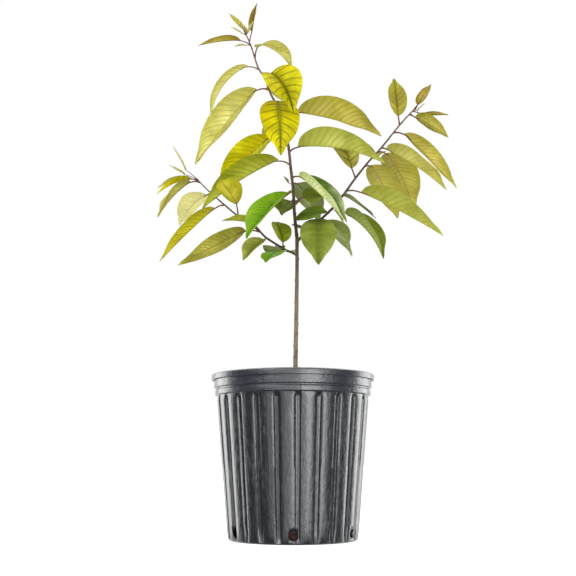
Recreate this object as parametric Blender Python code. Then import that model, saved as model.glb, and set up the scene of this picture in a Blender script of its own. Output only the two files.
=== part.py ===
"""A young American persimmon in a fluted nursery pot.

Metres, +Z up. The origin is the centre of the pot's flat underside, +X is the
side that the lower right bough grows to, and -Y is the front. The trunk is bare
up to its two lowest boughs. Above them every stretch of stem carries its own
leaves, and each such stretch with its leaves is one solid.
"""
import math
from collections import namedtuple

import bmesh
import bpy
from mathutils import Matrix, Vector
from mathutils.bvhtree import BVHTree

MM = 0.001
GAP = 0.3 * MM                # between pieces that meet

# The pot: a one gallon nursery container. Its radii, and heights from its underside
POT_HEIGHT = 165 * MM
LIP_RADIUS = 83.5 * MM
LIP_FOOT = 159.6 * MM
UPPER_BAND_RADIUS = 80.9 * MM
UPPER_BAND_FOOT = 150.4 * MM
LEDGE_RADIUS = 78.8 * MM
LEDGE_FOOT = 148.4 * MM
LOWER_BAND_RADIUS = 79.7 * MM
LOWER_BAND_FOOT = 143 * MM
WALL_TOP_RADIUS = 77 * MM     # on the ribs, where the wall runs into the lower band
WALL_FOOT_RADIUS = 64.5 * MM
WALL = 1.8 * MM               # thickness of the plastic
FLOOR = 2.5 * MM
EASE = 0.4 * MM               # the small round on the moulded corners
FLUTES = 23
FLUTE_DEPTH = 2.2 * MM
FLUTE_FOOT = 3 * MM
FLUTE_TOP = 138 * MM
FLUTE_TURN = math.radians(-89)    # where the first groove starts, seen from above
DRAIN_HOLES = 6
DRAIN_RADIUS = 4.5 * MM
DRAIN_HEIGHT = 8.5 * MM
DRAIN_SIDES = 10

# One flute, as shares of its pitch: how far round it is, and how deep the groove is there
FLUTE_SHAPE = ((0.00, 0.0), (0.07, 1.0), (0.24, 1.0), (0.31, 0.0))

# The potting mix: level on top, and clear of the pot all round
MIX_TOP = 147 * MM
MIX_GAP = 0.8 * MM

# Limbs and stems: the places that each one passes through, and its radius at both ends,
# all in millimetres. The trunk's foot stands on the mix.
Limb = namedtuple("Limb", "places foot tip")
TRUNK = Limb(
    ((2, 0, 147.3), (2, 0, 151), (2.4, 0, 160), (3.6, 0, 222), (4.5, 0, 276), (4.4, 0, 311)), 2.5, 1.8
)
FLARE_RADIUS = 4.2 * MM       # the trunk's radius where it leaves the mix
FLARE_HEIGHT = 14 * MM
LEFT_BOUGH = Limb(((4.4, 0, 292), (-1.8, 4.5, 296), (-6.2, 7, 298)), 1.5, 1.3)
RIGHT_BOUGH = Limb(((4.4, 0, 306.5), (12, -2.5, 313.4), (19, -4.5, 318.8)), 1.6, 1.4)

STEMS = {
    "middle_foliage": Limb(
        ((4.4, 0, 311.3), (3.3, 0, 322), (1.7, 0, 340), (0.7, 0, 362), (-1.8, 0, 385)), 1.8, 1.5
    ),
    "upper_foliage": Limb(
        ((-1.8, 0, 385.3), (-4, -1, 407), (-7, -1, 426), (-13, 0, 444), (-17.6, 1, 460)), 1.5, 1.2
    ),
    "leader_foliage": Limb(
        ((-17.7, 1, 460.3), (-25, 2, 475), (-30, 3, 491), (-38, 3, 504), (-46, 2, 529), (-52, 1, 543)),
        1.2, 0.7
    ),
    "right_inner_foliage": Limb(
        ((19.3, -4.6, 319), (25.6, -7, 325), (41.4, -12, 339), (55, -17, 355)), 1.4, 1.2
    ),
    "right_outer_foliage": Limb(
        ((55.2, -17.1, 355.3), (66, -21, 370), (80, -25, 387), (92.5, -29, 400), (112, -35, 423.5),
         (128, -40, 440)),
        1.2, 0.7
    ),
    "left_inner_foliage": Limb(
        ((-6.5, 7.1, 298.2), (-20, 13, 308), (-29, 17, 315), (-36, 20, 323)), 1.3, 1.1
    ),
    "left_outer_foliage": Limb(
        ((-36.2, 20.1, 323.3), (-60, 29, 342), (-75, 34, 356), (-93, 39, 373), (-106, 42, 387)), 1.1, 0.6
    ),
}

# Each leaf: its place along the stem from 0 to 1, the bearing that it points in (0 is +X,
# 90 is the back, 180 is the left, 270 is the front), its stalk's length and rise, the
# blade's length, the rise of the line from its base to its tip, the droop between its two
# ends, its width, how far it rolls its left edge up, and how far its halves fold up.
# Lengths are in millimetres and angles in degrees.
Leaf = namedtuple("Leaf", "at bearing stalk lift blade rise droop width roll fold")
LEAVES = {
    "middle_foliage": (
        Leaf(0.16, 70, 11, 5, 48, 2, 50, 28, 0, 20),
        Leaf(0.30, 319, 2, -10, 43, -3, 15, 26, 48, 5),
        Leaf(0.50, 10, 12, 38, 22, 4, 30, 21, 62, 10),
        Leaf(0.56, 105, 11, 8, 42, -8, 40, 30, 0, 15),
        Leaf(0.68, 215, 5, -20, 80, -47, 15, 46, -10, 30),
        Leaf(0.79, 62, 12, 22, 62, -31, 30, 34, 0, 20),
        Leaf(0.77, 135, 8, 35, 12, 50, 20, 5, 0, 10),
        Leaf(0.88, 320, 10, 8, 88, -45, 12, 36, 0, 45),
    ),
    "upper_foliage": (
        Leaf(0.07, 163, 16, 30, 101, -29, 20, 38, 15, 45),
        Leaf(0.26, 326, 12, 22, 113, -20, 28, 44, -5, 58),
        Leaf(0.56, 152, 20, -5, 84, -37, 10, 38, 18, 33),
        Leaf(0.76, 10, 20, 31, 98, -13, 18, 48, -18, 45),
        Leaf(0.97, 277, 7, 50, 82, -66, 40, 43, 0, 8),
        Leaf(0.62, 103, 10, 30, 88, 6, 20, 30, 0, 15),
    ),
    "leader_foliage": (
        Leaf(0.21, 157, 16, 15, 108, -46, 8, 42, 18, 45),
        Leaf(0.36, 308, 10, 27, 72, -55, 40, 46, 34, 34),
        Leaf(0.50, 187, 14, 20, 80, -59, 62, 16, 10, 60),
        Leaf(0.66, 43, 14, 82, 64, -9, 105, 26, 8, 12),
        Leaf(0.84, 210, 13, 14, 54, -20, 15, 13, 0, 50),
        Leaf(0.83, 135, 10, 25, 18, 12, 10, 6, 0, 20),
        Leaf(0.88, 45, 14, 77, 38, 78, 10, 11, 0, 30),
        Leaf(0.99, 237, 6, 45, 28, 15, 10, 7, 0, 15),
        Leaf(0.97, 158, 6, 38, 18, 35, 10, 5, 0, 15),
        Leaf(0.97, 110, 4, 50, 14, 66, 10, 5, 0, 10),
        Leaf(0.98, 335, 3, 54, 14, 61, 10, 5, 0, 10),
        Leaf(0.25, 70, 12, 20, 78, 3, 25, 32, 0, 15),
    ),
    "right_inner_foliage": (
        Leaf(0.21, 268, 5, 25, 62, -65, 40, 38, 0, 8),
        Leaf(0.03, 36, 9, 9, 56, -29, 70, 18, 0, 10),
        Leaf(0.55, 20, 5, 10, 17, -55, 20, 9, 0, 20),
        Leaf(0.74, 321, 16, -50, 74, -50, 40, 34, -5, 45),
        Leaf(0.88, 340, 4, 55, 46, -40, 15, 28, 0, 10),
        Leaf(0.30, 64, 8, 0, 70, -14, 25, 28, 0, 15),
    ),
    "right_outer_foliage": (
        Leaf(0.02, 333, 17, -11, 104, -33, 8, 38, -15, 45),
        Leaf(0.16, 131, 13, 66, 84, 44, 65, 31, -22, 15),
        Leaf(0.29, 50, 14, 24, 70, -45, 30, 38, 0, 15),
        Leaf(0.52, 331, 6, -10, 84, -40, 15, 36, 0, 45),
        Leaf(0.47, 52, 19, 14, 76, -41, 35, 40, 0, 12),
        Leaf(0.70, 25, 14, 6, 82, -39, 8, 24, -15, 45),
        Leaf(0.79, 100, 12, 71, 50, 74, 15, 22, 0, 25),
        Leaf(0.92, 338, 7, -30, 44, -38, 15, 22, -30, 20),
        Leaf(0.96, 14, 10, -10, 31, 3, 5, 11, 0, 10),
        Leaf(0.99, 294, 6, 22, 30, 25, 10, 12, 0, 20),
        Leaf(0.98, 30, 4, 0, 16, 43, 10, 4, 0, 10),
        Leaf(0.42, 84, 8, 30, 64, 14, 20, 28, 0, 15),
    ),
    "left_inner_foliage": (
        Leaf(0.05, 60, 6, -5, 22, 8, 20, 13, 0, 5),
        Leaf(0.09, 243, 6, -30, 42, -28, 30, 28, 0, 5),
        Leaf(0.11, 112, 7, 80, 38, 50, 40, 24, 0, 30),
        Leaf(0.68, 230, 5, -20, 44, -41, 10, 26, -15, 35),
        Leaf(0.90, 213, 15, 42, 38, -4, 20, 20, 0, 30),
        Leaf(0.95, 209, 18, 0, 90, -31, 4, 27, 45, 10),
        Leaf(0.35, 95, 12, 0, 56, 0, 25, 26, 0, 15),
    ),
    "left_outer_foliage": (
        Leaf(0.32, 246, 13, 75, 44, 22, 20, 32, 18, 42),
        Leaf(0.54, 190, 12, -17, 86, -47, 6, 26, 10, 45),
        Leaf(0.76, 132, 8, 5, 60, -27, 50, 33, 0, 20),
        Leaf(0.96, 210, 12, -3, 60, -51, 25, 30, 8, 28),
        Leaf(0.97, 192, 12, 17, 42, -30, 30, 14, 0, 30),
        Leaf(0.95, 172, 12, 30, 41, -14, 35, 12, 0, 30),
        Leaf(0.98, 178, 19, 42, 33, 61, 5, 8, 0, 20),
        Leaf(0.99, 220, 18, 12, 22, 17, 10, 5, 0, 10),
    ),
}
BLADE_PLACES = (0.0, 0.07, 0.19, 0.35, 0.53, 0.71, 0.87, 1.0)    # its sections, as shares of its length
BLADE_SHARE = 80              # a blade is this many times as long as it is thick
BLADE_LEAST = 0.6 * MM        # the thinnest blade
BLADE_WIDEST = 0.40           # where a blade is widest, as a share of its length
BLADE_ROUND = 0.62            # how full it is below that: less is rounder
STALK_RADII = (0.75 * MM, 0.68 * MM, 0.6 * MM, 0.38 * MM)
STALK_ENDS = (0.04, 0.12)     # its last two points, sunk in the blade at these shares of its length
STALK_SAG = 0.04              # how far it arches up, as a share of its length
STEM_SIDES = 8
STALK_SIDES = 5
CURVE_STEPS = 3               # pieces of curve between two places of a limb
SMOOTH_UNDER = math.radians(35)


def clear_scene():
    """Remove every object that the file opens with."""
    for item in list(bpy.data.objects):
        bpy.data.objects.remove(item, do_unlink=True)


def plain_material(name, colour, roughness):
    """A plain finish: base colour and roughness, no metal."""
    material = bpy.data.materials.new(name)
    material.use_nodes = True
    shader = material.node_tree.nodes["Principled BSDF"]
    shader.inputs["Base Color"].default_value = (*colour, 1)
    shader.inputs["Roughness"].default_value = roughness
    shader.inputs["Metallic"].default_value = 0
    material.diffuse_color = (*colour, 1)
    return material


def loft_mesh(rings):
    """A closed mesh through rings of equally many points, flat at both ends."""
    mesh = bmesh.new()
    loops = [[mesh.verts.new(point) for point in ring] for ring in rings]
    for lower, upper in zip(loops, loops[1:]):
        for i, corner in enumerate(lower):
            mesh.faces.new((lower[i - 1], corner, upper[i], upper[i - 1]))
    mesh.faces.new(reversed(loops[0]))
    mesh.faces.new(loops[-1])
    bmesh.ops.recalc_face_normals(mesh, faces=mesh.faces)
    return mesh


def add_object(name, mesh, material, collection=None):
    """Make an object of a bmesh, and put it in the scene or in a collection."""
    data = bpy.data.meshes.new(name)
    mesh.to_mesh(data)
    mesh.free()
    item = bpy.data.objects.new(name, data)
    (collection or bpy.context.scene.collection).objects.link(item)
    if material:
        data.materials.append(material)
        data.shade_smooth()
        data.set_sharp_from_angle(angle=SMOOTH_UNDER)
    return item


def freeze(item):
    """Apply an object's modifiers to its mesh."""
    graph = bpy.context.evaluated_depsgraph_get()
    data = bpy.data.meshes.new_from_object(item.evaluated_get(graph))
    item.modifiers.clear()
    item.data = data


def fluted_ring(radius, height, depth):
    """One ring of the pot's wall: a circle with a groove at every flute."""
    pitch = 2 * math.pi / FLUTES
    ring = []
    for flute in range(FLUTES):
        for place, share in FLUTE_SHAPE:
            angle = FLUTE_TURN + (flute + place) * pitch
            reach = radius - depth * share
            ring.append(Vector((reach * math.cos(angle), reach * math.sin(angle), height)))
    return ring


def wall_radius(height):
    """The outer radius of the tapering wall at a height, on the ribs."""
    return WALL_FOOT_RADIUS + (WALL_TOP_RADIUS - WALL_FOOT_RADIUS) * height / LOWER_BAND_FOOT


def build_pot():
    """The fluted container with its bands and lip, open at the top, drained at the foot."""
    foot_round = 3 * EASE
    inside = LIP_RADIUS - 4 * MM  # the lip's inner edge
    rings = [
        fluted_ring(WALL_FOOT_RADIUS - foot_round, 0, 0),
        fluted_ring(wall_radius(foot_round), foot_round, 0),
        fluted_ring(wall_radius(FLUTE_FOOT), FLUTE_FOOT, FLUTE_DEPTH),
        fluted_ring(wall_radius(FLUTE_TOP), FLUTE_TOP, FLUTE_DEPTH),
        fluted_ring(WALL_TOP_RADIUS, LOWER_BAND_FOOT - EASE, 0),
        fluted_ring(LOWER_BAND_RADIUS, LOWER_BAND_FOOT + EASE, 0),
        fluted_ring(LOWER_BAND_RADIUS, LEDGE_FOOT - EASE, 0),
        fluted_ring(LEDGE_RADIUS, LEDGE_FOOT + EASE, 0),
        fluted_ring(LEDGE_RADIUS, UPPER_BAND_FOOT - EASE, 0),
        fluted_ring(UPPER_BAND_RADIUS, UPPER_BAND_FOOT + EASE, 0),
        fluted_ring(UPPER_BAND_RADIUS, LIP_FOOT - EASE, 0),
        fluted_ring(LIP_RADIUS - EASE, LIP_FOOT, 0),
        fluted_ring(LIP_RADIUS, LIP_FOOT + 3 * EASE, 0),
        fluted_ring(LIP_RADIUS, POT_HEIGHT - 3 * EASE, 0),
        fluted_ring(LIP_RADIUS - 3 * EASE, POT_HEIGHT, 0),
        fluted_ring(inside, POT_HEIGHT, 0),
        fluted_ring(LEDGE_RADIUS - WALL, UPPER_BAND_FOOT, 0),
        fluted_ring(WALL_TOP_RADIUS - WALL, LOWER_BAND_FOOT, 0),
        fluted_ring(wall_radius(FLUTE_TOP) - WALL, FLUTE_TOP, FLUTE_DEPTH),
        fluted_ring(wall_radius(FLOOR) - WALL, FLOOR, FLUTE_DEPTH),
    ]
    plastic = plain_material("pot_plastic", (0.030, 0.036, 0.038), 0.38)
    pot = add_object("nursery_pot", loft_mesh(rings), plastic)
    cutters = [drill(pot, 2 * math.pi * (hole + 0.5) / DRAIN_HOLES) for hole in range(DRAIN_HOLES)]
    freeze(pot)
    for cutter in cutters:
        bpy.data.objects.remove(cutter, do_unlink=True)
    return pot


def drill(pot, angle):
    """Set one round drain hole to be cut through the foot of the wall, and return its cutter."""
    mesh = bmesh.new()
    through = 24 * MM
    bmesh.ops.create_cone(
        mesh, cap_ends=True, segments=DRAIN_SIDES, radius1=DRAIN_RADIUS, radius2=DRAIN_RADIUS, depth=through
    )
    turn = Matrix.Rotation(angle, 4, "Z") @ Matrix.Translation((WALL_FOOT_RADIUS, 0, DRAIN_HEIGHT))
    bmesh.ops.transform(mesh, matrix=turn @ Matrix.Rotation(math.pi / 2, 4, "Y"), verts=mesh.verts)
    cutter = add_object("drain_cutter", mesh, None)
    cutter.hide_render = True
    cutter.display_type = "WIRE"
    cut = pot.modifiers.new("drain", "BOOLEAN")
    cut.operation = "DIFFERENCE"
    cut.object = cutter
    return cutter


def build_mix():
    """The potting mix: it fills the pot up to a level top, clear of the plastic."""
    inset = WALL + MIX_GAP
    lag = 2.2 * MM                # its flutes run out this much higher than the pot's
    rings = [
        fluted_ring(wall_radius(FLOOR) - inset, FLOOR + GAP, FLUTE_DEPTH),
        fluted_ring(wall_radius(FLUTE_TOP) - inset, FLUTE_TOP + lag, FLUTE_DEPTH),
        fluted_ring(WALL_TOP_RADIUS - inset, LOWER_BAND_FOOT + lag, 0),
        fluted_ring(WALL_TOP_RADIUS - inset, MIX_TOP, 0),
    ]
    mix = plain_material("potting_mix", (0.075, 0.035, 0.028), 0.95)
    return add_object("potting_mix", loft_mesh(rings), mix)


def smooth_path(places):
    """Points in metres on one smooth curve through places given in millimetres."""
    knots = [Vector(place) * MM for place in places]
    knots = [2 * knots[0] - knots[1]] + knots + [2 * knots[-1] - knots[-2]]
    path = []
    for before, start, end, after in zip(knots, knots[1:], knots[2:], knots[3:]):
        for step in range(CURVE_STEPS):
            t = step / CURVE_STEPS
            bend = 2 * start + (end - before) * t
            bend += (2 * before - 5 * start + 4 * end - after) * t * t
            bend += (3 * start - before - 3 * end + after) * t ** 3
            path.append(bend / 2)
    return path + [knots[-2]]


def place_on(path, share):
    """The point at a share of a path's length."""
    lengths = [(b - a).length for a, b in zip(path, path[1:])]
    left = share * sum(lengths)
    for a, b, length in zip(path, path[1:], lengths):
        if left <= length:
            break
        left -= length
    return a.lerp(b, min(left / length, 1))


def tube_rings(path, radii, sides):
    """Round rings along a path, each square to it, that don't twist."""
    rings = []
    side = Vector((0, 1, 0))
    for i, point in enumerate(path):
        along = (path[min(i + 1, len(path) - 1)] - path[max(i - 1, 0)]).normalized()
        side = (side - along * side.dot(along)).normalized()
        turn = along.cross(side)
        ring = []
        for corner in range(sides):
            angle = 2 * math.pi * corner / sides
            ring.append(point + radii[i] * (math.cos(angle) * side + math.sin(angle) * turn))
        rings.append(ring)
    return rings


def limb_line(limb, extra=0.0):
    """A limb's middle line and its tapering radii, made thicker all round by extra."""
    path = smooth_path(limb.places)
    last = len(path) - 1
    radii = [(limb.foot + (limb.tip - limb.foot) * i / last) * MM + extra for i in range(last + 1)]
    return path, radii


def build_trunk():
    """The bare trunk, from its flat cut on the mix up to the foliage, flared at its foot."""
    path, radii = limb_line(TRUNK)
    for i, point in enumerate(path):
        rise = min((point.z - path[0].z) / FLARE_HEIGHT, 1)
        radii[i] += (FLARE_RADIUS - TRUNK.foot * MM) * (1 - rise) ** 2
    bark = plain_material("trunk_bark", (0.19, 0.16, 0.12), 0.8)
    return add_object("trunk", loft_mesh(tube_rings(path, radii, STEM_SIDES)), bark)


def build_bough(name, limb):
    """A bough that starts at the trunk's side, cut to the trunk's round with a small gap."""
    path, radii = limb_line(limb)
    bark = plain_material(name + "_bark", (0.11, 0.08, 0.06), 0.8)
    bough = add_object(name, loft_mesh(tube_rings(path, radii, STEM_SIDES)), bark)
    path, radii = limb_line(TRUNK, GAP)
    cutter = add_object(name + "_cutter", loft_mesh(tube_rings(path, radii, STEM_SIDES)), None)
    cut = bough.modifiers.new("saddle", "BOOLEAN")
    cut.operation = "DIFFERENCE"
    cut.object = cutter
    freeze(bough)
    bpy.data.objects.remove(cutter, do_unlink=True)
    return bough


def heading(bearing, rise):
    """A unit vector from a compass bearing and a rise, both in degrees."""
    across, up = math.radians(bearing), math.radians(rise)
    return Vector((math.cos(up) * math.cos(across), math.cos(up) * math.sin(across), math.sin(up)))


def blade_width(share):
    """A persimmon leaf's width from base to tip: round below, tapering to a drawn out tip."""
    fall = BLADE_ROUND * (1 - BLADE_WIDEST) / BLADE_WIDEST
    peak = BLADE_WIDEST ** BLADE_ROUND * (1 - BLADE_WIDEST) ** fall
    return share ** BLADE_ROUND * (1 - share) ** fall / peak


def blade_thickness(leaf):
    """How thick a leaf's blade is."""
    return max(leaf.blade * MM / BLADE_SHARE, BLADE_LEAST)


def blade_frame(leaf, base, share):
    """The midrib's point at a share of the blade's length, with its across and up vectors."""
    steps = 24
    point = base.copy()
    for step in range(steps):
        slope = leaf.rise + leaf.droop * (0.5 - share * (step + 0.5) / steps)
        point += heading(leaf.bearing, slope) * leaf.blade * MM * share / steps
    along = heading(leaf.bearing, leaf.rise + leaf.droop * (0.5 - share))
    level = Vector((0, 0, 1)).cross(heading(leaf.bearing, 0))
    above = along.cross(level)
    roll = math.radians(leaf.roll)
    across = math.cos(roll) * level + math.sin(roll) * above
    return point, across, along.cross(across)


def blade_rings(leaf, base):
    """Six-cornered sections of the blade: a shallow V with the leaf's thickness."""
    thick = blade_thickness(leaf)
    fold = math.radians(leaf.fold)
    rings = []
    for share in BLADE_PLACES:
        point, across, above = blade_frame(leaf, base, share)
        half = max(blade_width(share) * leaf.width * MM / 2, STALK_RADII[0])
        left = math.cos(fold) * across + math.sin(fold) * above
        right = math.sin(fold) * above - math.cos(fold) * across
        left_up = math.cos(fold) * above - math.sin(fold) * across
        right_up = math.cos(fold) * above + math.sin(fold) * across
        deep = above * thick / math.cos(fold)
        rings.append([
            point + left * half, point, point + right * half,
            point + right * half - right_up * thick, point - deep, point + left * half - left_up * thick,
        ])
    return rings


def stalk_line(leaf, root, base):
    """The stalk from the stem's middle into the blade, along the start of its midrib."""
    line = [root, root.lerp(base, 0.5) + Vector((0, 0, STALK_SAG * leaf.stalk * MM))]
    for share in STALK_ENDS:
        point, _, above = blade_frame(leaf, base, share)
        line.append(point - above * blade_thickness(leaf) * 0.6)
    return line


def leaf_meshes(leaf, stem_line):
    """A leaf's two closed meshes, its stalk and its blade, at its place on the stem."""
    root = place_on(stem_line, leaf.at)
    base = root + heading(leaf.bearing, leaf.lift) * leaf.stalk * MM
    stalk = loft_mesh(tube_rings(stalk_line(leaf, root, base), STALK_RADII, STALK_SIDES))
    return stalk, loft_mesh(blade_rings(leaf, base))


def touches(tree, others):
    """Whether a surface crosses any of the others."""
    return any(tree.overlap(other) for other in others)


def keep_outer_skin(item):
    """Drop loose scraps and the skins of sealed hollows, and keep the largest body."""
    mesh = bmesh.new()
    mesh.from_mesh(item.data)
    todo = set(mesh.verts)
    groups = []
    while todo:
        group = {todo.pop()}
        edge = list(group)
        while edge:
            corner = edge.pop()
            for link in corner.link_edges:
                other = link.other_vert(corner)
                if other in todo:
                    todo.discard(other)
                    group.add(other)
                    edge.append(other)
        groups.append(group)
    largest = max(groups, key=len)
    bmesh.ops.delete(mesh, geom=[v for v in mesh.verts if v not in largest], context="VERTS")
    mesh.to_mesh(item.data)
    mesh.free()


def build_foliage(name, standing):
    """One mass: a stretch of stem with its leaves fused on. It keeps clear of what stands."""
    limb = STEMS[name]
    path, radii = limb_line(limb)
    green = plain_material(name + "_leaf", FOLIAGE_COLOURS[name], 0.5)
    stem = add_object(name, loft_mesh(tube_rings(path, radii, STEM_SIDES)), green)
    parts = bpy.data.collections.new(name + "_parts")
    bpy.context.scene.collection.children.link(parts)
    blades = []
    for leaf in LEAVES[name]:
        stalk, blade = leaf_meshes(leaf, path)
        tree = BVHTree.FromBMesh(blade)
        if touches(tree, standing + blades) or touches(BVHTree.FromBMesh(stalk), standing):
            stalk.free()
            blade.free()
            continue
        blades.append(tree)
        add_object("stalk", stalk, None, parts)
        add_object("blade", blade, None, parts)
    union = stem.modifiers.new("fuse", "BOOLEAN")
    union.operation = "UNION"
    union.operand_type = "COLLECTION"
    union.collection = parts
    union.solver = "EXACT"
    freeze(stem)
    for item in list(parts.objects):
        bpy.data.objects.remove(item, do_unlink=True)
    bpy.data.collections.remove(parts)
    keep_outer_skin(stem)
    return stem


def surface_tree(item):
    """A search tree of a finished object's surface."""
    mesh = bmesh.new()
    mesh.from_mesh(item.data)
    tree = BVHTree.FromBMesh(mesh)
    mesh.free()
    return tree


def stem_tree(limb):
    """A search tree of a bare stem's surface."""
    mesh = loft_mesh(tube_rings(*limb_line(limb), STEM_SIDES))
    tree = BVHTree.FromBMesh(mesh)
    mesh.free()
    return tree


FOLIAGE_COLOURS = {
    "middle_foliage": (0.13, 0.24, 0.03),
    "upper_foliage": (0.45, 0.46, 0.06),
    "leader_foliage": (0.55, 0.50, 0.04),
    "right_inner_foliage": (0.20, 0.30, 0.07),
    "right_outer_foliage": (0.36, 0.38, 0.08),
    "left_inner_foliage": (0.20, 0.30, 0.05),
    "left_outer_foliage": (0.42, 0.42, 0.07),
}

clear_scene()
build_pot()
build_mix()
wood = [build_trunk(), build_bough("left_bough", LEFT_BOUGH), build_bough("right_bough", RIGHT_BOUGH)]
finished = [surface_tree(limb) for limb in wood]
for mass in STEMS:
    others = [stem_tree(STEMS[name]) for name in STEMS if name != mass]
    finished.append(surface_tree(build_foliage(mass, others + finished)))
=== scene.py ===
"""The looks of a young American persimmon in its nursery pot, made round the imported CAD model.

Metres, +Z up. The origin is the centre of the pot's flat underside, and -Y is the front.
The sections follow the plant as it is potted: pot, potting mix, trunk, boughs, foliage.
"""

import math
import random
from collections import namedtuple

import bmesh
import bpy
from mathutils import Matrix, Vector, noise


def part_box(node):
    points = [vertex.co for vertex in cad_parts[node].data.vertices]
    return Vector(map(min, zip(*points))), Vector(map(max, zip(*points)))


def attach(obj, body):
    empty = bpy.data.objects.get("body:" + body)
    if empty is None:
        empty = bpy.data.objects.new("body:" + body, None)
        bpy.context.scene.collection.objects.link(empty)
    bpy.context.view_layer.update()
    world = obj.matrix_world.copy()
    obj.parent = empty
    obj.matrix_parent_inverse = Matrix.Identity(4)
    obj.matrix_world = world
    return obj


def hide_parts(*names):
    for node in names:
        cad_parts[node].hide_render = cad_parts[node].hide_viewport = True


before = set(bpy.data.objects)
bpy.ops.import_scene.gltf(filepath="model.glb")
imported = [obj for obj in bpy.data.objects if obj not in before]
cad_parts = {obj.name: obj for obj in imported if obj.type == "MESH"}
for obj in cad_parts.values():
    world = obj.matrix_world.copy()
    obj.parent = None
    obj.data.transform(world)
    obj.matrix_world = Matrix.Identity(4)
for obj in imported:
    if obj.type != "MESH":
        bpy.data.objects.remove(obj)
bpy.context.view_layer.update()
MM = 0.001

# The nursery pot
# A one gallon container, blow moulded from recycled black polyethylene: a thin fluted wall
# under two plain bands and a lip turned down at its edge, with drain holes at its foot.

POT_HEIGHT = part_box("nursery_pot")[1].z
LIP_RADIUS = -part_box("nursery_pot")[0].y
LIP_FOOT = 159.6 * MM
LIP_HOOK = 0.9 * MM           # how far the lip's edge turns down past its foot
UPPER_BAND_RADIUS = 80.9 * MM
UPPER_BAND_FOOT = 150.4 * MM
LEDGE_RADIUS = 78.8 * MM
LEDGE_FOOT = 148.4 * MM
LOWER_BAND_RADIUS = 79.7 * MM
LOWER_BAND_FOOT = 143 * MM
WALL_TOP_RADIUS = 77 * MM
WALL_FOOT_RADIUS = 64.5 * MM
WALL = 1.8 * MM
FLOOR = 2.5 * MM
LIP_WIDTH = 4 * MM            # from the lip's edge to the pot's mouth
SLOPE = 1.2 * MM              # how high the foot's slope is, and twice those of the bands
CORNER = 0.35 * MM            # the round of the moulded corners
FLUTES = 23
FLUTE_TURN = math.radians(-89)
FLUTE_FOOT = 3 * MM
FLUTE_TOP = 138 * MM
FLUTE_DEPTH = 2.2 * MM
FLUTE_CREST = 3 * MM          # how far a groove's rounded top rises past the rib's top
FLUTE_SHOULDER = 2.5 * MM     # how much lower it is at the groove's sides
FLUTE_EASE = 2 * MM           # over which a groove fades out at its foot and top
GROOVE_SHARE = 0.31           # the groove's share of a flute
GROOVE_SIDE = 0.07            # each of its sloping sides' share
GROOVE_STEPS = 11
RIB_STEPS = 9
RIB_CROWN = 0.9 * MM          # how far a rib swells between its edges
SEAM_TURN = math.radians(-84.2)   # the mould's parting line, at the front
SEAM_HEIGHT = 0.25 * MM
DRAIN_HOLES = 6
DRAIN_RADIUS = 4.5 * MM
DRAIN_HEIGHT = 8.5 * MM
DRAIN_CUT = 24 * MM           # the length of the cutter
DRAIN_SIDES = 24
LONG_WALL = 8 * MM            # a stretch of wall that is longer is ringed for its relief
WALL_RINGS = 17


def paint(red, green, blue):
    """A colour as painters mix it, from 0 to 255, made linear for a shader."""
    shares = [value / 255 for value in (red, green, blue)]
    return tuple(s / 12.92 if s < 0.04 else ((s + 0.055) / 1.055) ** 2.4 for s in shares)


class Wire:
    """A socket's value in a finish. Python's operators on it add Math nodes."""

    def __init__(self, finish, socket):
        self.finish = finish
        self.socket = socket

    def math(self, operation, *values):
        places = dict(enumerate((self, *values)))
        return self.finish.node("ShaderNodeMath", {"operation": operation}, places)

    def __add__(self, other):
        return self.math("ADD", other)

    def __mul__(self, other):
        return self.math("MULTIPLY", other)

    def __sub__(self, other):
        return self.math("SUBTRACT", other)

    def __rsub__(self, other):
        return self.math("MULTIPLY", -1.0).math("ADD", other)

    def __abs__(self):
        return self.math("ABSOLUTE")

    __radd__ = __add__
    __rmul__ = __mul__

    def part(self, name):
        """One of x, y and z of a vector."""
        return self.finish.node("ShaderNodeSeparateXYZ", {}, {0: self}, name.upper())

    def clear(self, low, high):
        """0 below low, 1 above high, and smooth between them."""
        settings = {"interpolation_type": "SMOOTHSTEP"}
        return self.finish.node("ShaderNodeMapRange", settings, {0: self, 1: low, 2: high}, 0)


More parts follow.
